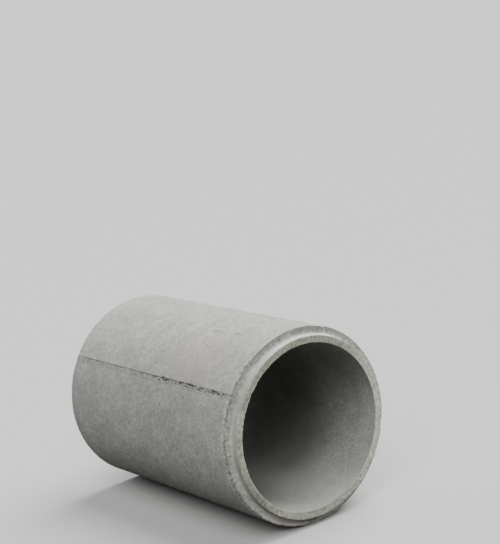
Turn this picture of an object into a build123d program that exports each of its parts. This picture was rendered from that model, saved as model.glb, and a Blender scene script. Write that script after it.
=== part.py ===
from build123d import *

# Concrete sewer pipe with a tongue-and-groove joint, cast in one piece.
#
# It lies on the ground with its bore level and along Y. The tongue end faces -Y and the
# groove end faces +Y. The origin is on the ground, under the middle of the overall length.
# All sizes are in millimetres.

from math import cos, radians, tan
import os

# Barrel
bore_diameter = 600
wall_thickness = 57
barrel_length = 1000  # what one pipe adds to a line, from its shoulder to its rim

# Tongue, at the -Y end
tongue_length = 29  # from the shoulder to the end face
tongue_wall = 26  # thickness left at the end face
flank_draft = 7  # degrees, so that the end ring comes off the fresh concrete
cove_radius = 14  # hollow curve between the shoulder and the tongue's flank
tongue_edge_radius = 5

# Groove, at the +Y end
mortar_gap = 4  # even gap all round a tongue that sits in the groove

# Small bevels that the mould's end rings leave
bore_edge_bevel = 3
barrel_edge_bevel = 3

bore_radius = bore_diameter / 2
barrel_radius = bore_radius + wall_thickness
overall_length = barrel_length + tongue_length

tongue_face = -overall_length / 2
shoulder = tongue_face + tongue_length
rim = overall_length / 2
groove_seat = rim - tongue_length

draft = radians(flank_draft)
flank_rise = tongue_length * tan(draft)
tongue_tip_radius = bore_radius + tongue_wall
tongue_root_radius = tongue_tip_radius + flank_rise
groove_root_radius = tongue_tip_radius + mortar_gap * (1 / cos(draft) - tan(draft))
groove_mouth_radius = groove_root_radius + flank_rise

# Corners of the wall's section, each with the radius that rounds it. A point's first
# number is its distance from the bore's axis, and its second is its place along the pipe.
# The groove's corners are the tongue's own, moved out by the mortar gap.
wall_corners = [
    ((bore_radius, tongue_face), 0),
    ((tongue_tip_radius, tongue_face), tongue_edge_radius),
    ((tongue_root_radius, shoulder), cove_radius),
    ((barrel_radius, shoulder), 0),
    ((barrel_radius, rim), 0),
    ((groove_mouth_radius, rim), cove_radius - mortar_gap),
    ((groove_root_radius, groove_seat), tongue_edge_radius + mortar_gap),
    ((bore_radius, groove_seat), 0),
]

bore_axis = Axis((0, 0, barrel_radius), (0, 1, 0))


def rings_of_radius(part, radius):
    """Edges that run round the pipe at one distance from the bore's axis."""
    rings = part.edges().filter_by(GeomType.CIRCLE)
    return rings.filter_by(lambda ring: abs(ring.radius - radius) < 0.01)


with BuildPart() as concrete_pipe:
    with BuildSketch(Plane.XY.offset(barrel_radius)) as wall_section:
        with BuildLine() as wall_outline:
            FilletPolyline(
                [corner for corner, radius in wall_corners],
                radius=[radius for corner, radius in wall_corners],
                close=True,
            )
        make_face()
    revolve(axis=bore_axis)
    chamfer(rings_of_radius(concrete_pipe, bore_radius), bore_edge_bevel)
    chamfer(rings_of_radius(concrete_pipe, barrel_radius), barrel_edge_bevel)

concrete_pipe.part.label = "concrete_pipe"
os.makedirs("parts", exist_ok=True)
export_step(concrete_pipe.part, "parts/concrete_pipe.step")
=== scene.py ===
import math

import bmesh
import bpy
from mathutils import Matrix, Vector


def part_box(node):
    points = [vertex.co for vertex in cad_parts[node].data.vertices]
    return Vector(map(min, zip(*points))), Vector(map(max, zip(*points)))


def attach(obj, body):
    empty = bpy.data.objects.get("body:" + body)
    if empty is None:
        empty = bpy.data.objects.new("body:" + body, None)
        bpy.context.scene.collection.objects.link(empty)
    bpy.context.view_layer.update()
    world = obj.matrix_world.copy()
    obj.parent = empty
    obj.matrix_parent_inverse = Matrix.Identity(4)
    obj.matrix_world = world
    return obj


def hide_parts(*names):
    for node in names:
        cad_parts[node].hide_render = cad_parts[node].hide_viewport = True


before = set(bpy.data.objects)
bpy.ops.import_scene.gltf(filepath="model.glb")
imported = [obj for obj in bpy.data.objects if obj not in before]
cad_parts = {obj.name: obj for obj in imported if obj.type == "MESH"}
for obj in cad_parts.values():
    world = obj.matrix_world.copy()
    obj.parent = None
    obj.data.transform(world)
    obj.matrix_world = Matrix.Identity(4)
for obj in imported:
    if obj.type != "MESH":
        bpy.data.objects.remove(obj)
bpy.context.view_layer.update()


# Node helpers, used for shapes and finishes alike

def connect(tree, socket, source):
    if isinstance(source, bpy.types.NodeSocket):
        tree.links.new(source, socket)
    else:
        socket.default_value = source


def put(tree, kind, feeds=None, **settings):
    made = tree.nodes.new(kind)
    for name, value in settings.items():
        setattr(made, name, value)
    for place, source in (feeds or {}).items():
        connect(tree, made.inputs[place], source)
    return made


def calc(tree, operation, *values):
    return put(tree, "ShaderNodeMath", dict(enumerate(values)), operation=operation).outputs[0]


def chain(tree, operation, *values):
    result = values[0]
    for value in values[1:]:
        result = calc(tree, operation, result, value)
    return result


def product(tree, *values):
    return chain(tree, "MULTIPLY", *values)


def total(tree, *values):
    return chain(tree, "ADD", *values)


def vectors(tree, operation, *values, **named):
    made = put(tree, "ShaderNodeVectorMath", {**dict(enumerate(values)), **named}, operation=operation)
    return made.outputs["Vector"]


def remap(tree, value, low, high, toLow=0.0, toHigh=1.0, smooth=True):
    feeds = {"Value": value, "From Min": low, "From Max": high, "To Min": toLow, "To Max": toHigh}
    kind = "SMOOTHSTEP" if smooth else "LINEAR"
    return put(tree, "ShaderNodeMapRange", feeds, interpolation_type=kind).outputs["Result"]


def band(tree, value, middle, halfWidth, softness, height=1.0):
    # this high within a band of a value, and 0 outside it
    gap = calc(tree, "ABSOLUTE", calc(tree, "SUBTRACT", value, middle))
    return remap(tree, gap, halfWidth, halfWidth + softness, height, 0.0)


def noise(tree, place, scale, seed, detail=2.0, roughness=0.5):
    feeds = {"Vector": place, "Scale": scale, "W": seed, "Detail": detail, "Roughness": roughness}
    return put(tree, "ShaderNodeTexNoise", feeds, noise_dimensions="4D").outputs["Fac"]


def cells(tree, place, scale, seed):
    # distance to the middle of each random cell, in cell widths, and a colour that picks the cell
    feeds = {"Vector": place, "Scale": scale, "W": seed}
    made = put(tree, "ShaderNodeTexVoronoi", feeds, voronoi_dimensions="4D")
    return made.outputs["Distance"], made.outputs["Color"]


def mixColour(tree, share, first, second, blend="MIX"):
    feeds = {0: share, 6: first, 7: second}  # the mix node's share and its two colours
    return put(tree, "ShaderNodeMix", feeds, data_type="RGBA", blend_type=blend,
               clamp_factor=True).outputs[2]


def turned(*degrees):
    return tuple(math.radians(angle) for angle in degrees)


def named(sizes, names):
    # sizes for a tree's inputs, whose names are the dictionary's with spaces
    return {name: sizes[name[0].lower() + name[1:].replace(" ", "")] for name in names}


def newTree(name, kind, inputs, outputs):
    tree = bpy.data.node_groups.new(name, kind)
    for direction, sockets in (("INPUT", inputs), ("OUTPUT", outputs)):
        for socketName, socketKind in sockets:
            tree.interface.new_socket(socketName, in_out=direction, socket_type="NodeSocket" + socketKind)
    given = tree.nodes.new("NodeGroupInput").outputs
    result = tree.nodes.new("NodeGroupOutput").inputs
    return tree, given, result


# The casting's shape

barrelZone, endZone, boreZone = 0, 1, 2  # every point carries its zone's number

pipe = {
    "boreRadius": 0.3,
    "wall": 0.057,
    "tongueLength": 0.029,
    "tongueWall": 0.026,
    "flankDraft": math.radians(7),
    "coveRadius": 0.014,
    "tongueEdge": 0.005,
    "tongueArris": 0.0018,  # the tongue's outer edge came sharp from the ring
    "mortarGap": 0.004,
    "boreEdge": 0.004,  # rounding of the bore's edge at the groove
    "mouthEdge": 0.0018,  # and at the tongue, where it came sharp from the ring
    "barrelEdge": 0.003,  # rounding of the barrel's two ends
    "stepsAround": 720,
    "endStep": 0.0054,  # longest mesh step on the tongue, shoulder, groove and rim
    "arcStep": 0.0027,
    "barrelStep": 0.036,
    "boreStep": 0.1,
    "fewestSteps": 3,  # round any arc
    "stepGrowth": 1.45,  # from one mesh step to the next
    "stepShare": 0.35,  # a step's longest share of the run that is left
    "leastGap": 0.6,  # arc steps that stay free before the next arc
}
axisHeight = pipe["boreRadius"] + pipe["wall"]

weathering = {
    "seed": 4.0,
    # bore, tongue, cove and barrel edges of the tongue end, then barrel, lip, seat and bore edges
    "edgeWear": (0.5, 0.2, 0.0, 1.0, 0.2, 0.4, 0.0, 0.7),
    "wornWidth": 0.0065,
    "roughSide": math.radians(-62),  # the side where the edges have crumbled most
    "roughTurn": 0.3,  # the barrel's edge is worst further round than the bore's
    "unevenness": 0.001,
    "chipDepth": 0.0065,
    "chipSize": 0.011,
    "crumbDepth": 0.0032,
    "crumbSize": 0.0095,
    "knockAngle": math.radians(-40),  # one deeper knock on the shoulder's edge
    "seamAngle": math.radians(-57.5),  # from the top, towards -X: where the mould's halves met
    "seamBand": 0.013,  # mesh this near the seam is cut finer
    "seamInnerBand": 0.0091,  # and this near once more
    "seamLongEdge": 0.012,
    "seamCuts": 7,
    "seamDepth": 0.0022,
    "seamHalfWidth": 0.005,
    "otherHalfTurn": 0.01,  # the seam on the far side, in radians
    "otherDepth": 0.45,  # its depth, as a share of this one's
    "raggedScale": 45.0,
    "raggedRange": (0.34, 0.6),  # noise that closes the seam, and noise that opens it
    "leastOpen": 0.25,
    "seamStep": 0.0008,  # how far the lower half's skin lies behind the upper half's
    "stepRange": (-0.004, 0.001),
    "pitDepth": 0.0045,
    "pitSize": 0.0095,
    "pitStretch": (1.0, 0.5, 1.0),  # pits are longer along the pipe
    "pitRange": (0.5, 0.62),
    "pitBand": (-0.002, 0.003, 0.008),  # its middle, just below the seam, half width and softness
    "pitShares": (0.9, 0.1),  # in the leaky stretch, and everywhere
    "speckFineness": 1.8,  # specks to a pit's width
    "speckRange": (0.52, 0.63),
    "speckBand": (-0.0085, 0.0025, 0.0035),
    "speckShares": (0.65, 0.25),
    "pittedFrom": -0.42,  # stretch of the seam that leaked grout, along the pipe
    "pittedTo": -0.06,
    "pittedFade": (0.04, 0.1),
    "sideRange": (-0.2, 0.9),  # cosine of the angle from the rough side
    "leastRough": 0.35,
    "spreadScale": 9.0,
    "spreadShare": 0.35,
    "biteRange": (0.62, 0.86),
    "knockHalfTurn": 0.045,
    "knockDepth": 0.9,  # in chip depths
    "toothRange": (0.42, 0.6),
    "waveScale": 3.2,
    "crumbsSeen": 0.5,  # how broken a crumb looks beside a chip
    "seamSeen": 0.6,  # how dark the seam looks beside a pit
}


def sectionCorners():
    # distance from the axis, place along the pipe, rounding, then the zone and mesh step of the next run
    low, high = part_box("concrete_pipe")
    tipRadius = pipe["boreRadius"] + pipe["tongueWall"]
    slope = math.tan(pipe["flankDraft"])
    flankRise = pipe["tongueLength"] * slope
    seatRadius = tipRadius + pipe["mortarGap"] * (1 / math.cos(pipe["flankDraft"]) - slope)
    shoulder = low.y + pipe["tongueLength"]
    seat = high.y - pipe["tongueLength"]
    fine = pipe["endStep"]
    return [
        (pipe["boreRadius"], low.y, pipe["mouthEdge"], endZone, fine),
        (tipRadius, low.y, pipe["tongueArris"], endZone, fine),
        (tipRadius + flankRise, shoulder, pipe["coveRadius"], endZone, fine),
        (axisHeight, shoulder, pipe["barrelEdge"], barrelZone, pipe["barrelStep"]),
        (axisHeight, high.y, pipe["barrelEdge"], endZone, fine),
        (seatRadius + flankRise, high.y, pipe["coveRadius"] - pipe["mortarGap"], endZone, fine),
        (seatRadius, seat, pipe["tongueEdge"] + pipe["mortarGap"], endZone, fine),
        (pipe["boreRadius"], seat, pipe["boreEdge"], boreZone, pipe["boreStep"]),
    ]


def roundedCorner(before, here, after, rounding):
    # points of the arc that rounds a corner
    inward, outward = (before - here).normalized(), (after - here).normalized()
    opening = inward.angle(outward)
    centre = here + (inward + outward).normalized() * (rounding / math.sin(opening / 2))
    first = here + inward * (rounding / math.tan(opening / 2)) - centre
    last = here + outward * (rounding / math.tan(opening / 2)) - centre
    turn = -first.angle_signed(last)
    steps = max(pipe["fewestSteps"], math.ceil(abs(turn) * rounding / pipe["arcStep"]))
    return [centre + Matrix.Rotation(turn * step / steps, 2) @ first for step in range(steps + 1)]


def gradedRun(start, end, longestStep):
    # points between two arcs, close together near both and spaced out in the middle
    length = (end - start).length
    distances, place, step = [], 0.0, pipe["arcStep"]
    while place < length:
        distances.append(place)
        step = min(step * pipe["stepGrowth"], longestStep,
                   max(pipe["arcStep"], (length - place) * pipe["stepShare"]))
        place += step
    return [start.lerp(end, distance / length) for distance in distances[1:]
            if length - distance > pipe["arcStep"] * pipe["leastGap"]]


def sectionOutline():
    corners = sectionCorners()
    spots = [Vector((radius, along)) for radius, along, *rest in corners]
    arcs = [roundedCorner(spots[i - 1], spots[i], spots[(i + 1) % len(spots)], corners[i][2])
            for i in range(len(spots))]
    points, zones = [], []
    for i, (radius, along, rounding, zone, step) in enumerate(corners):
        run = gradedRun(arcs[i][-1], arcs[(i + 1) % len(arcs)][0], step)
        points += arcs[i] + run
        zones += [endZone] * len(arcs[i]) + [zone] * len(run)
    return points, zones


def edgeWear(points):
    # how worn each point is, up to 1 on a broken edge, and the way into the wall there
    corners = sectionCorners()
    middle = pipe["boreRadius"] + pipe["wall"] / 2
    diagonal = math.sqrt(0.5)
    worn, radial, lengthways = [], [], []
    for point in points:
        gaps = [(point - Vector(corner[:2])).length / weathering["wornWidth"] for corner in corners]
        nearness = [wear * math.exp(-gap ** 2) for wear, gap in zip(weathering["edgeWear"], gaps)]
        radius, along = corners[nearness.index(max(nearness))][:2]
        worn.append(max(nearness))
        radial.append(math.copysign(diagonal, middle - radius))
        lengthways.append(math.copysign(diagonal, -along))
    return {"wornEdge": worn, "wearRadial": radial, "wearAlong": lengthways}


def sectionLoop():
    # a closed loop of edges, measured from the bore's wall, that carries its zones and worn edges
    points, zones = sectionOutline()
    print("section points", len(points), "triangles", 2 * len(points) * pipe["stepsAround"])
    loop = bpy.data.meshes.new("wallSection")
    edges = [(i, (i + 1) % len(points)) for i in range(len(points))]
    loop.from_pydata([(p.x - pipe["boreRadius"], p.y, 0) for p in points], edges, [])
    for name, values in {"zone": zones, **edgeWear(points)}.items():
        loop.attributes.new(name, "FLOAT", "POINT").data.foreach_set("value", values)
    return bpy.data.objects.new("castPipe", loop)


def reshape(tree, kind, shape, feeds=None):
    return put(tree, "GeometryNode" + kind, {"Geometry": shape, **(feeds or {})}).outputs["Geometry"]


def readNumber(tree, name):
    return put(tree, "GeometryNodeInputNamedAttribute", {"Name": name},
               data_type="FLOAT").outputs["Attribute"]


def keepNumber(tree, shape, name, value):
    feeds = {"Geometry": shape, "Name": name, "Value": value}
    return put(tree, "GeometryNodeStoreNamedAttribute", feeds, data_type="FLOAT",
               domain="POINT").outputs["Geometry"]


def sweepTree():
    # sweep the wall's section round the bore, then lay the casting on its side
    inputs = [("Section", "Geometry"), ("Bore Radius", "Float"), ("Axis Height", "Float"),
              ("Steps Around", "Int"), ("Concrete", "Material")]
    tree, given, result = newTree("sweepSection", "GeometryNodeTree", inputs, [("Pipe", "Geometry")])
    section = put(tree, "GeometryNodeMeshToCurve", {"Mesh": given["Section"]}).outputs["Curve"]
    ring = put(tree, "GeometryNodeCurvePrimitiveCircle",
               {"Resolution": given["Steps Around"], "Radius": given["Bore Radius"]}).outputs["Curve"]
    ring = put(tree, "GeometryNodeSetCurveNormal", {"Curve": ring}, mode="Z_UP").outputs["Curve"]
    swept = put(tree, "GeometryNodeCurveToMesh",
                {"Curve": ring, "Profile Curve": section}).outputs["Mesh"]
    lift = put(tree, "ShaderNodeCombineXYZ", {"Z": given["Axis Height"]}).outputs["Vector"]
    shape = reshape(tree, "Transform", swept, {"Translation": lift, "Rotation": (math.pi / 2, 0, 0)})
    shape = reshape(tree, "RealizeInstances", shape)
    shape = reshape(tree, "SetMaterial", shape, {"Material": given["Concrete"]})
    connect(tree, result["Pipe"], shape)
    return tree


def cutSeamFiner(mesh):
    # short faces along the mould's seam, so that its pits can be real holes
    build = bmesh.new()
    build.from_mesh(mesh)
    zone = build.verts.layers.float["zone"]
    seam = Vector((math.sin(weathering["seamAngle"]), math.cos(weathering["seamAngle"])))

    def bySeam(edge, reach):
        # near either of the two lines where the halves of the mould met
        return all(vert[zone] < barrelZone + 0.5
                   and min(Vector((vert.co.x, vert.co.z - axisHeight)).angle(side)
                           for side in (seam, -seam)) * axisHeight < reach for vert in edge.verts)

    longOnes = [edge for edge in build.edges if bySeam(edge, weathering["seamBand"])
                and abs(edge.verts[0].co.y - edge.verts[1].co.y) > weathering["seamLongEdge"]]
    bmesh.ops.subdivide_edges(build, edges=longOnes, cuts=weathering["seamCuts"], use_grid_fill=True)
    nearOnes = [edge for edge in build.edges if bySeam(edge, weathering["seamInnerBand"])]
    bmesh.ops.subdivide_edges(build, edges=nearOnes, cuts=1, use_grid_fill=True)
    build.to_mesh(mesh)
    build.free()


# inputs of the weathering tree that are sizes of the dictionary
weatherSizes = ("Seed", "Unevenness", "Chip Depth", "Chip Size", "Crumb Depth", "Crumb Size",
                "Rough Side", "Rough Turn", "Knock Angle", "Seam Angle", "Seam Depth", "Seam Step",
                "Pit Depth", "Pit Size", "Pitted From", "Pitted To")


def weatherTree():
    wear = weathering
    inputs = [("Pipe", "Geometry"), ("Axis Height", "Float"), *((name, "Float") for name in weatherSizes),
              ("Barrel", "Material"), ("Ends", "Material"), ("Bore", "Material")]
    tree, given, result = newTree("weatherCasting", "GeometryNodeTree", inputs, [("Pipe", "Geometry")])
    shape = given["Pipe"]

    # where a point is: its angle from the top and its place along the pipe
    place = put(tree, "GeometryNodeInputPosition").outputs["Position"]
    axes = put(tree, "ShaderNodeSeparateXYZ", {"Vector": place}).outputs
    height = calc(tree, "SUBTRACT", axes["Z"], given["Axis Height"])
    angle = calc(tree, "ARCTAN2", axes["X"], height)
    along = axes["Y"]
    onBarrel = calc(tree, "LESS_THAN", readNumber(tree, "zone"), barrelZone + 0.5)

    # the seam of the mould: a leaky groove, with the lower half's skin a little behind the upper's
    turn = calc(tree, "WRAP", calc(tree, "SUBTRACT", angle, given["Seam Angle"]), math.pi, -math.pi)
    offSeam = product(tree, turn, given["Axis Height"])
    seamLine = band(tree, offSeam, 0.0, 0.0, wear["seamHalfWidth"])
    otherLine = band(tree, calc(tree, "ABSOLUTE", turn), math.pi, 0.0, wear["otherHalfTurn"],
                     wear["otherDepth"])
    ragged = noise(tree, place, wear["raggedScale"], given["Seed"], 3.0, 0.7)
    seamLine = product(tree, calc(tree, "MAXIMUM", seamLine, otherLine),
                       remap(tree, ragged, *wear["raggedRange"], wear["leastOpen"], 1.0))
    lowerHalf = remap(tree, offSeam, *wear["stepRange"], 1.0, 0.0)

    # pits that the leaking grout left along one stretch of the seam, and specks below them
    fadeIn, fadeOut = wear["pittedFade"]
    stretch = product(tree, remap(tree, along, calc(tree, "SUBTRACT", given["Pitted From"], fadeIn),
                                  given["Pitted From"]),
                      remap(tree, along, given["Pitted To"],
                            total(tree, given["Pitted To"], fadeOut), 1.0, 0.0))
    pulled = vectors(tree, "MULTIPLY", place, wear["pitStretch"])
    torn = noise(tree, pulled, calc(tree, "DIVIDE", 1.0, given["Pit Size"]), given["Seed"], 3.0, 0.55)
    pit = product(tree, remap(tree, torn, *wear["pitRange"]), band(tree, offSeam, *wear["pitBand"]),
                  calc(tree, "MULTIPLY_ADD", stretch, *wear["pitShares"]))
    specks = noise(tree, place, calc(tree, "DIVIDE", wear["speckFineness"], given["Pit Size"]),
                   given["Seed"], 1.0, 0.5)
    specks = product(tree, remap(tree, specks, *wear["speckRange"]),
                     band(tree, offSeam, *wear["speckBand"]),
                     calc(tree, "MULTIPLY_ADD", stretch, *wear["speckShares"]))
    pit = calc(tree, "MAXIMUM", pit, specks)

    # broken edges, worst on one side
    worn = readNumber(tree, "wornEdge")
    roughest = calc(tree, "MULTIPLY_ADD", readNumber(tree, "wearRadial"), given["Rough Turn"],
                    given["Rough Side"])
    side = calc(tree, "COSINE", calc(tree, "SUBTRACT", angle, roughest))
    side = remap(tree, side, *wear["sideRange"], wear["leastRough"], 1.0)
    bites = noise(tree, place, calc(tree, "DIVIDE", 1.0, given["Chip Size"]), given["Seed"], 2.0, 0.6)
    spread = noise(tree, place, wear["spreadScale"], given["Seed"], 1.0, 0.5)
    bites = remap(tree, calc(tree, "MULTIPLY_ADD", spread, wear["spreadShare"], bites),
                  *wear["biteRange"])
    chip = product(tree, worn, side, bites)
    knock = band(tree, angle, given["Knock Angle"], 0.0, wear["knockHalfTurn"], wear["knockDepth"])
    atTongue = calc(tree, "LESS_THAN", along, 0.0)
    chip = calc(tree, "MAXIMUM", chip, product(tree, knock, worn, atTongue))
    teeth = noise(tree, place, calc(tree, "DIVIDE", 1.0, given["Crumb Size"]), given["Seed"], 2.0, 0.6)
    crumbs = product(tree, worn, side, side, remap(tree, teeth, *wear["toothRange"]))

    # everything goes inwards, so that the casting never grows past its mould
    waves = product(tree, noise(tree, place, wear["waveScale"], given["Seed"], 2.0, 0.5),
                    given["Unevenness"])
    seamSink = product(tree, seamLine, given["Seam Depth"], onBarrel)
    stepSink = product(tree, lowerHalf, given["Seam Step"], onBarrel)
    pitSink = product(tree, pit, given["Pit Depth"], onBarrel)
    chipSink = calc(tree, "MAXIMUM", product(tree, chip, given["Chip Depth"]),
                    product(tree, crumbs, given["Crumb Depth"]))
    sink = total(tree, waves, seamSink, stepSink, pitSink)
    normal = put(tree, "GeometryNodeInputNormal").outputs["Normal"]
    push = vectors(tree, "SCALE", normal, Scale=product(tree, sink, -1.0))
    outwards = vectors(tree, "NORMALIZE", put(tree, "ShaderNodeCombineXYZ", {
        "X": axes["X"], "Z": height}).outputs["Vector"])
    lengthways = put(tree, "ShaderNodeCombineXYZ", {"Y": readNumber(tree, "wearAlong")}).outputs["Vector"]
    inwards = vectors(tree, "ADD", vectors(tree, "SCALE", outwards, Scale=readNumber(tree, "wearRadial")),
                      lengthways)
    push = vectors(tree, "ADD", push, vectors(tree, "SCALE", inwards, Scale=chipSink))

    # what the finishes need to know, kept before the points move
    broken = calc(tree, "MULTIPLY_ADD", crumbs, wear["crumbsSeen"], chip)
    pitted = calc(tree, "MAXIMUM", pit, product(tree, seamLine, wear["seamSeen"]))
    shape = keepNumber(tree, shape, "broken", broken)
    shape = keepNumber(tree, shape, "pitted", product(tree, pitted, onBarrel))
    shape = keepNumber(tree, shape, "lowerHalf", product(tree, lowerHalf, onBarrel))
    shape = reshape(tree, "SetPosition", shape, {"Offset": push})

    # finishes by a face's mean zone
    shape = reshape(tree, "RealizeInstances", shape)
    zone = readNumber(tree, "zone")
    for name, low, high in (("Barrel", -0.5, 0.75), ("Ends", 0.75, 1.25), ("Bore", 1.25, 2.5)):
        within = product(tree, calc(tree, "GREATER_THAN", zone, low),
                         calc(tree, "LESS_THAN", zone, high))
        shape = reshape(tree, "SetMaterial", shape, {"Selection": within, "Material": given[name]})
    connect(tree, result["Pipe"], shape)
    return tree


def bakeTree(owner, tree, settings):
    # run the node tree on its object and keep the plain mesh that comes out
    modifier = owner.modifiers.new(tree.name, "NODES")
    modifier.node_group = tree
    sockets = {item.name: item.identifier for item in tree.interface.items_tree if item.in_out == "INPUT"}
    for name, value in settings.items():
        modifier[sockets[name]] = value
    view = bpy.context.evaluated_depsgraph_get()
    made = bpy.data.meshes.new_from_object(owner.evaluated_get(view), depsgraph=view)
    owner.modifiers.remove(modifier)
    owner.data = made
    return owner


def castPipe(barrelFinish, endFinish, boreFinish):
    made = sectionLoop()
    bpy.context.scene.collection.objects.link(made)
    bakeTree(made, sweepTree(), {"Bore Radius": pipe["boreRadius"], "Axis Height": axisHeight,
                                 "Steps Around": pipe["stepsAround"], "Concrete": barrelFinish})
    cutSeamFiner(made.data)
    bakeTree(made, weatherTree(), {"Axis Height": axisHeight, **named(weathering, weatherSizes),
                                   "Barrel": barrelFinish, "Ends": endFinish, "Bore": boreFinish})
    made.data.shade_smooth()
    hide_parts("concrete_pipe")
    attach(made, "root")
    triangles = sum(len(face.vertices) - 2 for face in made.data.polygons)
    print("pipe cast:", triangles, "triangles, finishes", [m.name for m in made.data.materials])
    return made


# Finishes

concrete = {
    "broadShare": 0.4,  # of the broad clouds, beside the close ones
    "closeShare": 0.6,
    "closeFineness": 6.0,  # close clouds to a broad one
    "cloudRange": (0.36, 0.64),
    "mottleFineness": 0.28,  # in grains
    "cellFineness": 0.6,
    "grainEdge": (0.22, 0.46),
    "grainPick": (0.3, 0.7),
    "noiseRange": (0.3, 0.7),
    "speckles": (0.6, 0.4, 0.5),  # how much mottle, dust and single grains change the tone
    "reliefs": (0.8, 0.5, 0.3),  # and the relief
    "holePick": (0.35, 0.75),
    "holeFloor": 0.6,  # a hole's flat bottom, as a share of its width
    "holeTint": 0.75,
    "stoneEdge": (0.3, 0.45),
    "stonePick": (0.35, 0.6),
    "tornFineness": 2.0,  # tears to a stone's width
    "tornRange": (0.3, 0.65),
    "tornShade": 0.45,
    "tornRelief": 2.0,
    "brokenRange": (0.06, 0.35),  # how broken an edge is where its inside starts to show, and shows
    "brokenRelief": 0.8,
    "creviceRange": (0.45, 0.95),
    "reliefUnit": 0.001,  # reliefs and depths are in millimetres
}


def cementCloud():
    # slow changes of tone, where the mix dried unevenly
    inputs = [("Place", "Vector"), ("Patch Size", "Float"), ("Seed", "Float"), ("Pale", "Color"),
              ("Dark", "Color")]
    tree, given, result = newTree("cementCloud", "ShaderNodeTree", inputs,
                                  [("Colour", "Color"), ("Cloud", "Float")])
    place, seed = given["Place"], given["Seed"]
    broadScale = calc(tree, "DIVIDE", 1.0, given["Patch Size"])
    closeScale = calc(tree, "DIVIDE", concrete["closeFineness"], given["Patch Size"])
    broad = noise(tree, place, broadScale, seed, 3.0, 0.6)
    close = noise(tree, place, closeScale, seed, 4.0, 0.65)
    both = calc(tree, "MULTIPLY_ADD", close, concrete["closeShare"],
                product(tree, broad, concrete["broadShare"]))
    cloud = remap(tree, both, *concrete["cloudRange"])
    connect(tree, result["Colour"], mixColour(tree, cloud, given["Dark"], given["Pale"]))
    connect(tree, result["Cloud"], cloud)
    return tree


def sandGrain():
    # sand and fine stone just under the skin of cement
    inputs = [("Place", "Vector"), ("Grain Size", "Float"), ("Seed", "Float")]
    tree, given, result = newTree("sandGrain", "ShaderNodeTree", inputs,
                                  [("Speckle", "Float"), ("Relief", "Float")])
    place, seed = given["Place"], given["Seed"]
    fineness = calc(tree, "DIVIDE", 1.0, given["Grain Size"])
    mottleScale = product(tree, fineness, concrete["mottleFineness"])
    mottle = noise(tree, place, mottleScale, seed, 3.0, 0.7)
    dust = noise(tree, place, fineness, seed, 3.0, 0.7)
    gap, pick = cells(tree, place, product(tree, fineness, concrete["cellFineness"]), seed)
    grain = product(tree, remap(tree, gap, *concrete["grainEdge"], 1.0, 0.0),
                    remap(tree, pick, *concrete["grainPick"], -1.0, 1.0))
    mottled, dusted, grained = concrete["speckles"]
    speckle = total(tree, remap(tree, mottle, *concrete["noiseRange"], -mottled, mottled, smooth=False),
                    remap(tree, dust, *concrete["noiseRange"], -dusted, dusted, smooth=False),
                    product(tree, grain, grained))
    relief = total(tree, *(product(tree, layer, depth)
                           for layer, depth in zip((mottle, dust, grain), concrete["reliefs"])))
    connect(tree, result["Speckle"], speckle)
    connect(tree, result["Relief"], relief)
    return tree


def airHoles():
    # bubbles that the skin cuts through, each a round hole of its own size
    inputs = [("Place", "Vector"), ("Hole Spacing", "Float"), ("Largest Hole", "Float"),
              ("Seed", "Float")]
    tree, given, result = newTree("airHoles", "ShaderNodeTree", inputs, [("Hole", "Float")])
    place, seed = given["Place"], given["Seed"]
    gap, pick = cells(tree, place, calc(tree, "DIVIDE", 1.0, given["Hole Spacing"]), seed)
    reach = product(tree, calc(tree, "DIVIDE", given["Largest Hole"], given["Hole Spacing"]),
                    remap(tree, pick, *concrete["holePick"], 0.0, 0.5))
    bottom = product(tree, reach, concrete["holeFloor"])
    connect(tree, result["Hole"], remap(tree, gap, bottom, reach, 1.0, 0.0))
    return tree


def brokenFace():
    # stones and torn paste where an edge has broken away
    inputs = [("Place", "Vector"), ("Stone Size", "Float"), ("Seed", "Float"), ("Paste", "Color"),
              ("Stone", "Color")]
    tree, given, result = newTree("brokenFace", "ShaderNodeTree", inputs,
                                  [("Colour", "Color"), ("Relief", "Float")])
    place, seed = given["Place"], given["Seed"]
    gap, pick = cells(tree, place, calc(tree, "DIVIDE", 1.0, given["Stone Size"]), seed)
    tornScale = calc(tree, "DIVIDE", concrete["tornFineness"], given["Stone Size"])
    torn = noise(tree, place, tornScale, seed, 3.0, 0.7)
    stone = product(tree, remap(tree, gap, *concrete["stoneEdge"], 1.0, 0.0),
                    remap(tree, pick, *concrete["stonePick"]))
    colour = mixColour(tree, stone, given["Paste"], given["Stone"])
    shade = remap(tree, torn, *concrete["tornRange"], concrete["tornShade"], 1.0)
    connect(tree, result["Colour"], mixColour(tree, 1.0, colour, shade, "MULTIPLY"))
    connect(tree, result["Relief"], calc(tree, "MULTIPLY_ADD", torn, concrete["tornRelief"], stone))
    return tree


def roundThePipe():
    # angle from the top, and distance from the tongue's shoulder
    tree, given, result = newTree("roundThePipe", "ShaderNodeTree",
                                  [("Place", "Vector"), ("Axis Height", "Float"), ("Shoulder", "Float")],
                                  [("Angle", "Float"), ("Along", "Float"), ("Radius", "Float")])
    axes = put(tree, "ShaderNodeSeparateXYZ", {"Vector": given["Place"]}).outputs
    height = calc(tree, "SUBTRACT", axes["Z"], given["Axis Height"])
    connect(tree, result["Angle"], calc(tree, "ARCTAN2", axes["X"], height))
    connect(tree, result["Along"], calc(tree, "SUBTRACT", axes["Y"], given["Shoulder"]))
    connect(tree, result["Radius"], calc(tree, "SQRT", calc(tree, "MULTIPLY_ADD", height, height,
                                                            product(tree, axes["X"], axes["X"]))))
    return tree


shoulderPlace = sectionCorners()[3][1]  # along the pipe


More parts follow.
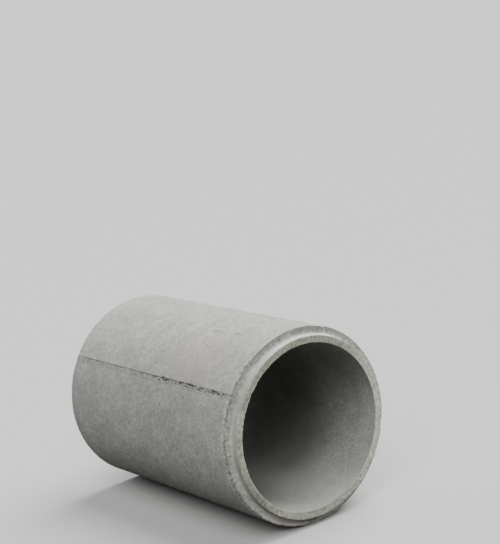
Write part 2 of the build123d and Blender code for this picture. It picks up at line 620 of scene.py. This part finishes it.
class ConcreteSkin:
    # the layers that every face of the casting shares; each finish adds its own between them
    groups = {}

    def __init__(self, name, look):
        if not self.groups:
            self.groups.update({make.__name__: make() for make in
                                (cementCloud, sandGrain, airHoles, brokenFace, roundThePipe)})
        self.finish = bpy.data.materials.new(name)
        self.finish.use_nodes = True
        self.tree = self.finish.node_tree
        self.place = put(self.tree, "ShaderNodeTexCoord").outputs["Object"]
        self.look = look
        self.around = self.layer("roundThePipe", feeds={"Axis Height": axisHeight,
                                                        "Shoulder": shoulderPlace})
        self.colour = self.layer("cementCloud", "Patch Size", "Seed", "Pale", "Dark")["Colour"]
        sand = self.layer("sandGrain", "Grain Size", "Seed")
        self.lighten(sand["Speckle"], look["speckle"])
        self.relief = product(self.tree, sand["Relief"], look["grainRelief"])
        holes = self.layer("airHoles", "Hole Spacing", "Largest Hole", "Seed")["Hole"]
        self.tint(look["holeShade"], holes, concrete["holeTint"])
        self.raised(holes, -look["holeDepth"])

    def layer(self, name, *sizes, feeds=None):
        # a shared group, at this look's sizes
        feeds = {"Place": self.place, **named(self.look, sizes), **(feeds or {})}
        return put(self.tree, "ShaderNodeGroup", feeds, node_tree=self.groups[name]).outputs

    def lighten(self, *changes):
        # paler by the product of the changes, or darker where it is negative
        factor = total(self.tree, product(self.tree, *changes), 1.0)
        self.colour = vectors(self.tree, "SCALE", self.colour, Scale=factor)

    def tint(self, colour, *shares, blend="MIX"):
        self.colour = mixColour(self.tree, product(self.tree, *shares), self.colour, colour, blend)

    def raised(self, share, height):
        self.relief = calc(self.tree, "MULTIPLY_ADD", share, height, self.relief)

    def attribute(self, name):
        return put(self.tree, "ShaderNodeAttribute", attribute_name=name).outputs["Fac"]

    def band(self, value, *sizes):
        return band(self.tree, value, *sizes)

    def spot(self, name):
        # 1 within the look's band of angles and stretch of the pipe of that name
        return product(self.tree, self.band(self.around["Angle"], *self.look[name + "Around"]),
                       self.band(self.around["Along"], *self.look[name + "Along"]))

    def noisy(self, scale, detail, roughness=0.5):
        return noise(self.tree, self.place, scale, self.look["seed"], detail, roughness)

    def patchy(self, scale, low, high, detail, roughness):
        # noise, spread from 0 to 1 between two of its values
        return remap(self.tree, self.noisy(scale, detail, roughness), low, high)

    def close(self, paste=None):
        # broken edges lie over every other layer
        faces = self.layer("brokenFace", "Stone Size", "Seed", "Stone",
                           feeds={"Paste": paste or self.look["paste"]})
        broken = remap(self.tree, self.attribute("broken"), *concrete["brokenRange"])
        self.tint(faces["Colour"], broken)
        self.tint(self.look["holeShade"], remap(self.tree, self.attribute("broken"),
                                                *concrete["creviceRange"], 0.0, self.look["crevices"]))
        self.raised(product(self.tree, faces["Relief"], broken), concrete["brokenRelief"])
        shader = self.tree.nodes["Principled BSDF"].inputs
        connect(self.tree, shader["Base Color"], self.colour)
        shader["Roughness"].default_value = self.look["roughness"]
        shader["Specular IOR Level"].default_value = self.look["specular"]
        feeds = {"Height": self.relief, "Distance": concrete["reliefUnit"]}
        connect(self.tree, shader["Normal"], put(self.tree, "ShaderNodeBump", feeds).outputs["Normal"])
        return self.finish


# A band is its middle, half width and softness, in radians round the pipe or metres, along it from the
# shoulder or out from the axis. A patchy noise is its scale, the two values that it is spread between,
# its detail and its roughness.

barrelLook = {
    "seed": 11.0,
    "pale": (0.537, 0.541, 0.505, 1),
    "dark": (0.415, 0.419, 0.387, 1),
    "patchSize": 0.34,
    "grainSize": 0.003,
    "speckle": 0.42,
    "grainRelief": 0.6,
    "holeSpacing": 0.014,
    "largestHole": 0.0085,
    "holeShade": (0.16, 0.155, 0.14, 1),
    "holeDepth": 1.2,
    "stoneSize": 0.007,
    # dark, as painted shade in the pits where the edge has broken
    "paste": (0.31, 0.305, 0.27, 1),
    "stone": (0.48, 0.47, 0.41, 1),
    "crevices": 0.75,
    "roughness": 0.92,
    "specular": 0.25,
    "rust": (0.57, 0.49, 0.42, 1),
    "rustAround": (math.radians(-40), 0.1, 0.35),
    "rustAlong": (0.29, 0.06, 0.16),
    "rustShare": 0.36,
    "moss": (0.44, 0.47, 0.44, 1),
    "mossFrom": (0.55, 1.0),
    "mossNoise": (5.0, 0.4, 0.65, 2.0, 0.5),
    "mossShare": 0.35,
    # smudges, and the painted shade below the seam's step
    "smudgeAndShade": (0.24, 0.235, 0.22, 1),
    "soiledAround": (math.radians(-24), 0.16, 0.3),
    "soiledAlong": (0.07, 0.07, 0.14),
    "soiledShare": 0.16,
    # the lower half's skin is darker, partly as painted shade
    "lowerShades": (-0.19, 0.05),
    "coarseScale": 120.0,
    "coarseRelief": 1.5,
    "slingAngle": math.radians(-18.146),
    "slingLean": -0.28,  # radians a metre
    "slingWobble": 0.1,
    "wobbleScale": 14.0,
    "slingWidth": (0.0, 0.006, 0.024),
    "slingAlong": (0.235, 0.1, 0.05),
    "slingNoise": (38.0, 0.45, 0.6, 3.0, 0.7),
    "slingShare": 0.7,
    "unevenNoise": (60.0, 0.36, 0.6, 4.0, 0.7),
    "seamShadeBand": (-0.01, 0.008, 0.009),  # painted shade below the seam's step, from the seam, upwards
    "seamShadeShare": 0.62,
    "seamShadeRelief": -1.0,
    "lip": (0.62, 0.62, 0.58, 1),
    "lipBand": (0.006, 0.001, 0.005),
    "lipShare": 0.35,
    "crumb": (0.74, 0.73, 0.62, 1),
    "rubbedAround": (math.radians(-22), 0.35, 0.3),
    "rubbedAlong": (0.003, 0.003, 0.008),
    "rubbedShare": 0.55,
    "crumbAlong": (0.008, 0.008, 0.016),
    "crumbNoise": (90.0, 0.45, 0.56, 2.0, 0.6),
    "crumbShare": 0.9,
    "pitShade": (0.1, 0.098, 0.09, 1),
    "pitSeen": (0.15, 0.7),
    "pitShare": 0.85,
}

endLook = {
    "seed": 23.0,
    "pale": (0.625, 0.63, 0.57, 1),
    "dark": (0.39, 0.395, 0.345, 1),
    "patchSize": 0.1,
    "grainSize": 0.0034,
    "speckle": 0.62,
    "grainRelief": 1.0,
    "holeSpacing": 0.013,
    "largestHole": 0.008,
    "holeShade": (0.13, 0.127, 0.11, 1),
    "holeDepth": 1.4,
    "stoneSize": 0.007,
    # pale fresh paste, made paler still as painted light on chip faces that turn from the light
    "paste": (0.86, 0.86, 0.67, 1),
    "shadedPaste": (0.4, 0.395, 0.35, 1),  # on the barrel's broken edge, dark as painted shade in its pits
    "stone": (0.76, 0.75, 0.62, 1),
    "crevices": 0.2,
    "roughness": 0.93,
    "specular": 0.25,
    "shadedPasteFrom": (0.33, 0.345),
    "shoulderFrom": (0.327, 0.333),
    "faceUpTo": (-0.0275, -0.0235),
    "bottomFrom": turned(132, 155),
    "lowestFrom": turned(146, 170),
    "yellowAround": (math.radians(-55), 0.7, 0.85),
    # paler ring round the flank, partly painted highlight
    "rubbed": (0.66, 0.66, 0.64, 1),
    "rubbedAndLitRing": (0.327, 0.002, 0.007),
    "rubbedShare": 0.6,
    "faceTone": (0.86, 0.87, 0.74, 1),
    "faceFrom": (0.326, 0.3215),
    "faceShares": (0.35, 0.3),  # on the yellow side, and everywhere
    "arris": (0.62, 0.62, 0.5, 1),
    "arrisFrom": (0.3085, 0.3035),
    "arrisShares": (0.55, 0.3),
    "frontAround": (math.radians(-28), 0.45, 0.25),
    "frontAlong": (-0.0265, 0.0025, 0.006),
    "frontChange": -0.14,
    # painted light and shade round the ring: degrees from the top, half width, softness, how much paler
    "shoulderLightAndShade": ((0, 26, 30, -0.34), (-32, 4, 12, 0.12), (-62, 8, 12, -0.12), (-90, 10, 12, 0.2),
                      (-153, 14, 14, 0.45), (105, 25, 45, 0.1), (178, 12, 16, 0.4)),
    "flankLightAndShade": ((0, 14, 20, 0.14), (-72, 22, 20, -0.14), (-128, 22, 20, -0.36)),
    "faceLightAndShade": ((15, 22, 22, -0.1), (-62, 34, 16, 0.08), (-121, 8, 18, -0.26), (92, 22, 40, 0.4)),
    "lowSideFrom": turned(115, 160),
    "patchNoise": (16.0, 0.36, 0.62, 4.0, 0.65),
    "dashNoise": (45.0, 0.42, 0.56, 3.0, 0.7),
    # brown earth, pale enough to be painted light where the low shoulder lies in shade
    "earthAndPaintedLight": (0.8, 0.72, 0.66, 1),
    "earthAndPaintedLightShare": 0.6,
    # grime round the shoulder's edge, and painted shade in the cove and on its left side
    "grimeAndShade": (0.22, 0.195, 0.17, 1),
    "edgeGrimeFrom": (0.346, 0.355),
    "edgeGrimeShare": 0.22,
    "shadedCoveAround": (math.radians(-74), 0.42, 0.3),
    "shadedCoveShare": 0.32,
    "coveRing": (0.335, 0.006, 0.008),
    "coveShadeShare": 0.5,
    "mouthRing": (0.3, 0.004, 0.004),
    "mouthGrimeShares": (0.45, 0.8),
    "bloom": (0.8, 0.8, 0.78, 1),
    "crackAngle": math.radians(21.4),  # at the crack's middle
    "crackRadius": 0.342,
    "crackLean": -1.6,  # radians a metre
    "crackWobble": 0.012,
    "crackScale": 40.0,
    "crackWidth": (0.0, 0.0035, 0.0035),
    "crackAlong": (0.0, 0.008, 0.006),
    "crackShare": 0.95,
    "edgeBloomRing": (0.356, 0.0012, 0.0014),
    "edgeBloomAround": (math.radians(17.39), 0.06, 0.03),
    "flankBloomRing": (0.3275, 0.002, 0.0025),
    "flankBloomAround": (math.radians(21.4), 0.02, 0.06),
    "bloomShare": 0.7,
}

boreLook = {
    "seed": 37.0,
    "pale": (0.325, 0.328, 0.311, 1),
    "dark": (0.261, 0.264, 0.247, 1),
    "patchSize": 0.22,
    "grainSize": 0.0021,
    "speckle": 0.44,
    "grainRelief": 0.5,
    "holeSpacing": 0.018,
    "largestHole": 0.0075,
    "holeShade": (0.1, 0.098, 0.09, 1),
    "holeDepth": 1.0,
    "stoneSize": 0.007,
    "paste": (0.42, 0.415, 0.35, 1),
    "stone": (0.55, 0.535, 0.44, 1),
    "crevices": 0.4,
    "roughness": 0.86,
    "specular": 0.3,
    "streak": 0.05,
    "streakScale": 55.0,
    "streakStretch": (1.0, 0.07, 1.0),
    "streakRelief": 0.5,
    "cloudScale": 7.0,
    "cloudRange": (0.3, 0.6),
    "leastCloud": 0.7,
    "dust": (0.52, 0.522, 0.495, 1),
    "dustAround": turned(115, 170),
    "dustFrom": (0.19, 0.44),  # from the pipe's middle
    "dustShares": (0.95, 0.55),
    "sandScale": 190.0,
    "sandRange": (0.32, 0.68),
    "sandSwing": 0.14,
    # painted shade, overhead and deep inside the bore, and in the crease under its mouth
    "boreShade": (0.13, 0.129, 0.12, 1),
    "overheadTo": turned(55, 95),
    "overheadShare": 0.65,
    "insideTo": (0.1, 0.38),
    "insideShare": 0.8,
    "insideAround": turned(140, 172),
    "insideLeast": 0.15,
    # painted light near the mouths
    "mouthLightFrom": (0.4, 0.49),
    "mouthLightAround": turned(100, 140),
    "mouthLightShares": (0.3, 0.03),
    # painted shade in the crease under the tongue's mouth
    "creaseAlong": (-0.026, 0.002, 0.007),
    "creaseAround": turned(146, 170),
    "creaseShare": 0.5,
}


def steelMouldFace():
    look = barrelLook
    skin = ConcreteSkin("steelMouldFace", look)
    tree, angle, along = skin.tree, skin.around["Angle"], skin.around["Along"]

    # warm and cool tints, as faint as the photograph shows them
    skin.tint(look["rust"], skin.spot("rust"), look["rustShare"])
    skin.tint(look["moss"], remap(tree, along, *look["mossFrom"], 0.0, look["mossShare"]),
              skin.patchy(*look["mossNoise"]))

    # hands and slings have soiled the skin near the tongue
    skin.tint(look["smudgeAndShade"], skin.spot("soiled"), look["soiledShare"])

    # the skin below the seam is coarser, and darker partly as painted shade
    lower = skin.attribute("lowerHalf")
    coarse = skin.noisy(look["coarseScale"], 3.0, 0.7)
    skin.lighten(lower, remap(tree, coarse, *concrete["noiseRange"], *look["lowerShades"]))
    skin.raised(product(tree, lower, coarse), look["coarseRelief"])

    # a dashed smudge where a sling rubbed
    wobble = calc(tree, "MULTIPLY_ADD", skin.noisy(look["wobbleScale"], 2.0), look["slingWobble"],
                  look["slingAngle"])
    slant = calc(tree, "MULTIPLY_ADD", along, look["slingLean"], wobble)
    skin.tint(look["smudgeAndShade"], skin.band(calc(tree, "SUBTRACT", angle, slant), *look["slingWidth"]),
              skin.band(along, *look["slingAlong"]), skin.patchy(*look["slingNoise"]), look["slingShare"])

    # a dark band below the seam is painted shade under the seam's step, with a pale lip above it
    offSeam = product(tree, calc(tree, "SUBTRACT", angle, weathering["seamAngle"]), axisHeight)
    uneven = skin.patchy(*look["unevenNoise"])
    seamShade = product(tree, skin.band(offSeam, *look["seamShadeBand"]), uneven)
    skin.tint(look["smudgeAndShade"], seamShade, look["seamShadeShare"])
    skin.raised(seamShade, look["seamShadeRelief"])
    skin.tint(look["lip"], skin.band(offSeam, *look["lipBand"]), uneven, look["lipShare"])

    # the upper half's edge is rubbed pale, and the lower half's skin ends in crumbs of pale paste
    skin.tint(look["crumb"], skin.spot("rubbed"), look["rubbedShare"])
    skin.tint(look["crumb"], skin.band(along, *look["crumbAlong"]), lower,
              skin.patchy(*look["crumbNoise"]), look["crumbShare"])

    # pits and the open seam hold shade and dirt
    skin.tint(look["pitShade"], remap(tree, skin.attribute("pitted"), *look["pitSeen"], 0.0,
                                      look["pitShare"]))
    return skin.close()


def ringMouldFace():
    look = endLook
    skin = ConcreteSkin("ringMouldFace", look)
    tree, angle, along, radius = (skin.tree, skin.around["Angle"], skin.around["Along"],
                                  skin.around["Radius"])
    fromTop = calc(tree, "ABSOLUTE", angle)
    onShoulder = remap(tree, radius, *look["shoulderFrom"])
    onFace = remap(tree, along, *look["faceUpTo"], 1.0, 0.0)
    onFlank = calc(tree, "SUBTRACT", calc(tree, "SUBTRACT", 1.0, onShoulder), onFace)

    # a paler ring round the flank, rubbed by the ring and partly painted highlight; yellower on the face
    # and at the bore's arris
    aboveBottom = calc(tree, "SUBTRACT", 1.0, remap(tree, fromTop, *look["bottomFrom"]))
    yellowSide = skin.band(angle, *look["yellowAround"])
    skin.tint(look["rubbed"], skin.band(radius, *look["rubbedAndLitRing"]),
              remap(tree, onFace, 0.0, 1.0, look["rubbedShare"], 0.0))
    skin.tint(look["faceTone"], remap(tree, radius, *look["faceFrom"]),
              calc(tree, "MULTIPLY_ADD", yellowSide, *look["faceShares"]), blend="MULTIPLY")
    skin.tint(look["arris"], remap(tree, radius, *look["arrisFrom"]), aboveBottom,
              calc(tree, "MULTIPLY_ADD", yellowSide, *look["arrisShares"]))

    # the flank is duller beside its front edge
    skin.lighten(skin.spot("front"), look["frontChange"])

    # painted light and shade, paler and darker by angle round the ring
    for part, lightAndShade in ((onShoulder, look["shoulderLightAndShade"]), (onFlank, look["flankLightAndShade"]),
                        (onFace, look["faceLightAndShade"])):
        for *tone, change in lightAndShade:
            skin.lighten(part, skin.band(angle, *turned(*tone)), change)

    # brown earth low on the shoulder, made pale as painted light where it lies in shade, grime round its
    # outer edge, painted shade in the cove and a dark dashed ring under the bore's mouth
    lowSide = remap(tree, fromTop, *look["lowSideFrom"])
    patches = skin.patchy(*look["patchNoise"])
    dashes = remap(tree, skin.patchy(*look["dashNoise"]), 0.0, 1.0, *look["mouthGrimeShares"])
    shadedCoveSide = product(tree, skin.band(angle, *look["shadedCoveAround"]), look["shadedCoveShare"])
    skin.tint(look["earthAndPaintedLight"], lowSide, onShoulder, patches, look["earthAndPaintedLightShare"])
    skin.tint(look["grimeAndShade"], remap(tree, radius, *look["edgeGrimeFrom"]), patches,
              look["edgeGrimeShare"])
    # painted shade in the cove, round the lower side and on the left
    skin.tint(look["grimeAndShade"], skin.band(radius, *look["coveRing"]),
              calc(tree, "MAXIMUM", lowSide, shadedCoveSide), look["coveShadeShare"])
    skin.tint(look["grimeAndShade"], skin.band(radius, *look["mouthRing"]),
              remap(tree, fromTop, *look["lowestFrom"]), dashes)

    # a hairline crack with lime bloom across the shoulder
    wobble = calc(tree, "MULTIPLY_ADD", skin.noisy(look["crackScale"], 2.0), look["crackWobble"],
                  -look["crackWobble"] / 2)
    lean = calc(tree, "MULTIPLY_ADD", radius, look["crackLean"],
                look["crackAngle"] - look["crackLean"] * look["crackRadius"])
    offCrack = calc(tree, "SUBTRACT", angle, total(tree, lean, wobble))
    skin.tint(look["bloom"], skin.band(offCrack, *look["crackWidth"]),
              skin.band(along, *look["crackAlong"]), look["crackShare"])
    edgeBloom = product(tree, skin.band(radius, *look["edgeBloomRing"]),
                        skin.band(angle, *look["edgeBloomAround"]))
    flankBloom = product(tree, skin.band(radius, *look["flankBloomRing"]),
                         skin.band(angle, *look["flankBloomAround"]))
    skin.tint(look["bloom"], calc(tree, "MAXIMUM", edgeBloom, flankBloom), look["bloomShare"])
    # darker paste on the barrel's broken edge is painted shade in its pits
    return skin.close(mixColour(tree, remap(tree, radius, *look["shadedPasteFrom"]), look["paste"],
                                look["shadedPaste"]))


def spunBoreFace():
    look = boreLook
    skin = ConcreteSkin("spunBoreFace", look)
    tree, along = skin.tree, skin.around["Along"]
    fromTop = calc(tree, "ABSOLUTE", skin.around["Angle"])
    fromMiddle = calc(tree, "ABSOLUTE", total(tree, along, shoulderPlace))

    # faint streaks along the pipe, left by the core as it was drawn
    drawn = vectors(tree, "MULTIPLY", skin.place, look["streakStretch"])
    streaks = noise(tree, drawn, look["streakScale"], look["seed"], 4.0, 0.6)
    skin.lighten(remap(tree, streaks, *concrete["noiseRange"], -look["streak"], look["streak"]))
    skin.raised(streaks, look["streakRelief"])

    # pale dust where it settles along the bottom, with sand in it
    cloudy = remap(tree, skin.noisy(look["cloudScale"], 4.0, 0.6), *look["cloudRange"],
                   look["leastCloud"], 1.0)
    skin.tint(look["dust"], remap(tree, fromTop, *look["dustAround"]),
              remap(tree, fromMiddle, *look["dustFrom"], *look["dustShares"]), cloudy)
    sandy = skin.noisy(look["sandScale"], 3.0, 0.7)
    skin.lighten(remap(tree, sandy, *look["sandRange"], -look["sandSwing"], look["sandSwing"]))

    # painted shade overhead and in the middle, painted light near the mouths
    overhead = remap(tree, fromTop, *look["overheadTo"], look["overheadShare"], 0.0)
    inside = product(tree, remap(tree, fromMiddle, *look["insideTo"], look["insideShare"], 0.0),
                     remap(tree, fromTop, *look["insideAround"], 1.0, look["insideLeast"]))
    skin.tint(look["boreShade"], calc(tree, "MAXIMUM", overhead, inside), cloudy)
    # painted light: paler near the mouths, least along the bottom
    skin.lighten(remap(tree, fromMiddle, *look["mouthLightFrom"]),
                 remap(tree, fromTop, *look["mouthLightAround"], *look["mouthLightShares"]))

    # painted shade in the crease under the tongue's mouth
    skin.tint(look["boreShade"], skin.band(along, *look["creaseAlong"]),
              remap(tree, fromTop, *look["creaseAround"]), look["creaseShare"])
    return skin.close()


# Floor, camera and lights

studio = {
    "floorSize": 300,
    "floorTone": (0.66, 0.66, 0.65, 1),
    "floorBounce": (0.14, 0.14, 0.14, 1),  # what little the floor gives back to the pipe
    "floorRoughness": 0.95,
    "floorSpecular": 0.1,
    "skyTone": (0.62, 0.63, 0.64, 1),
    "skyLight": 0.06,
    "lightDistance": 6,
    # from the front, degrees to the right, height in degrees, width in degrees, strength
    "softLights": {
        "rightSoftLight": (90, 60, 50, 3.9),
        "frontSoftLight": (-45, 45, 45, 2.3),
        "lowSoftLight": (70, 30, 40, 0.7),
        "rearSoftLight": (200, 45, 50, 0.35),
    },
}

camera = {
    "place": (-3.248, -4.6962, 2.0328),
    "turn": (78.194, 6.532, -37.57),  # degrees
    "focalLength": 104.693,  # millimetres
    "longSide": 36,
}


def makeFloor():
    size = studio["floorSize"]
    mesh = bpy.data.meshes.new("floor")
    mesh.from_pydata([(-size, -size, 0), (size, -size, 0), (size, size, 0), (-size, size, 0)], [],
                     [(0, 1, 2, 3)])
    floor = bpy.data.objects.new("floor", mesh)
    bpy.context.scene.collection.objects.link(floor)
    finish = bpy.data.materials.new("paleFloor")
    finish.use_nodes = True
    tree = finish.node_tree
    seen = put(tree, "ShaderNodeLightPath").outputs["Is Camera Ray"]
    shader = tree.nodes["Principled BSDF"].inputs
    connect(tree, shader["Base Color"], mixColour(tree, seen, studio["floorBounce"], studio["floorTone"]))
    shader["Roughness"].default_value = studio["floorRoughness"]
    shader["Specular IOR Level"].default_value = studio["floorSpecular"]
    mesh.materials.append(finish)


def makeCamera():
    made = bpy.data.objects.new("camera", bpy.data.cameras.new("camera"))
    made.data.lens = camera["focalLength"]
    made.data.sensor_width = camera["longSide"]
    made.location = camera["place"]
    made.rotation_euler = [math.radians(turn) for turn in camera["turn"]]
    bpy.context.scene.collection.objects.link(made)
    bpy.context.scene.camera = made


def makeLights():
    for name, (toRight, height, width, strength) in studio["softLights"].items():
        lamp = bpy.data.lights.new(name, "SUN")
        lamp.angle, lamp.energy = math.radians(width), strength
        made = bpy.data.objects.new(name, lamp)
        toRight, height = math.radians(toRight), math.radians(height)
        towards = Vector((math.sin(toRight) * math.cos(height), -math.cos(toRight) * math.cos(height),
                          math.sin(height)))
        made.rotation_euler = towards.to_track_quat("Z", "Y").to_euler()
        made.location = towards * studio["lightDistance"]
        bpy.context.scene.collection.objects.link(made)


def makeSky():
    # pale behind the floor's far edge, and only a little light from all round
    world = bpy.data.worlds.new("softSky")
    world.use_nodes = True
    tree = world.node_tree
    seen = put(tree, "ShaderNodeLightPath").outputs["Is Camera Ray"]
    sky = tree.nodes["Background"].inputs
    sky["Color"].default_value = studio["skyTone"]
    connect(tree, sky["Strength"], remap(tree, seen, 0.0, 1.0, studio["skyLight"], 1.0, smooth=False))
    bpy.context.scene.world = world


makeCamera()
castPipe(steelMouldFace(), ringMouldFace(), spunBoreFace())
makeFloor()
makeSky()
makeLights()
print("stage set")
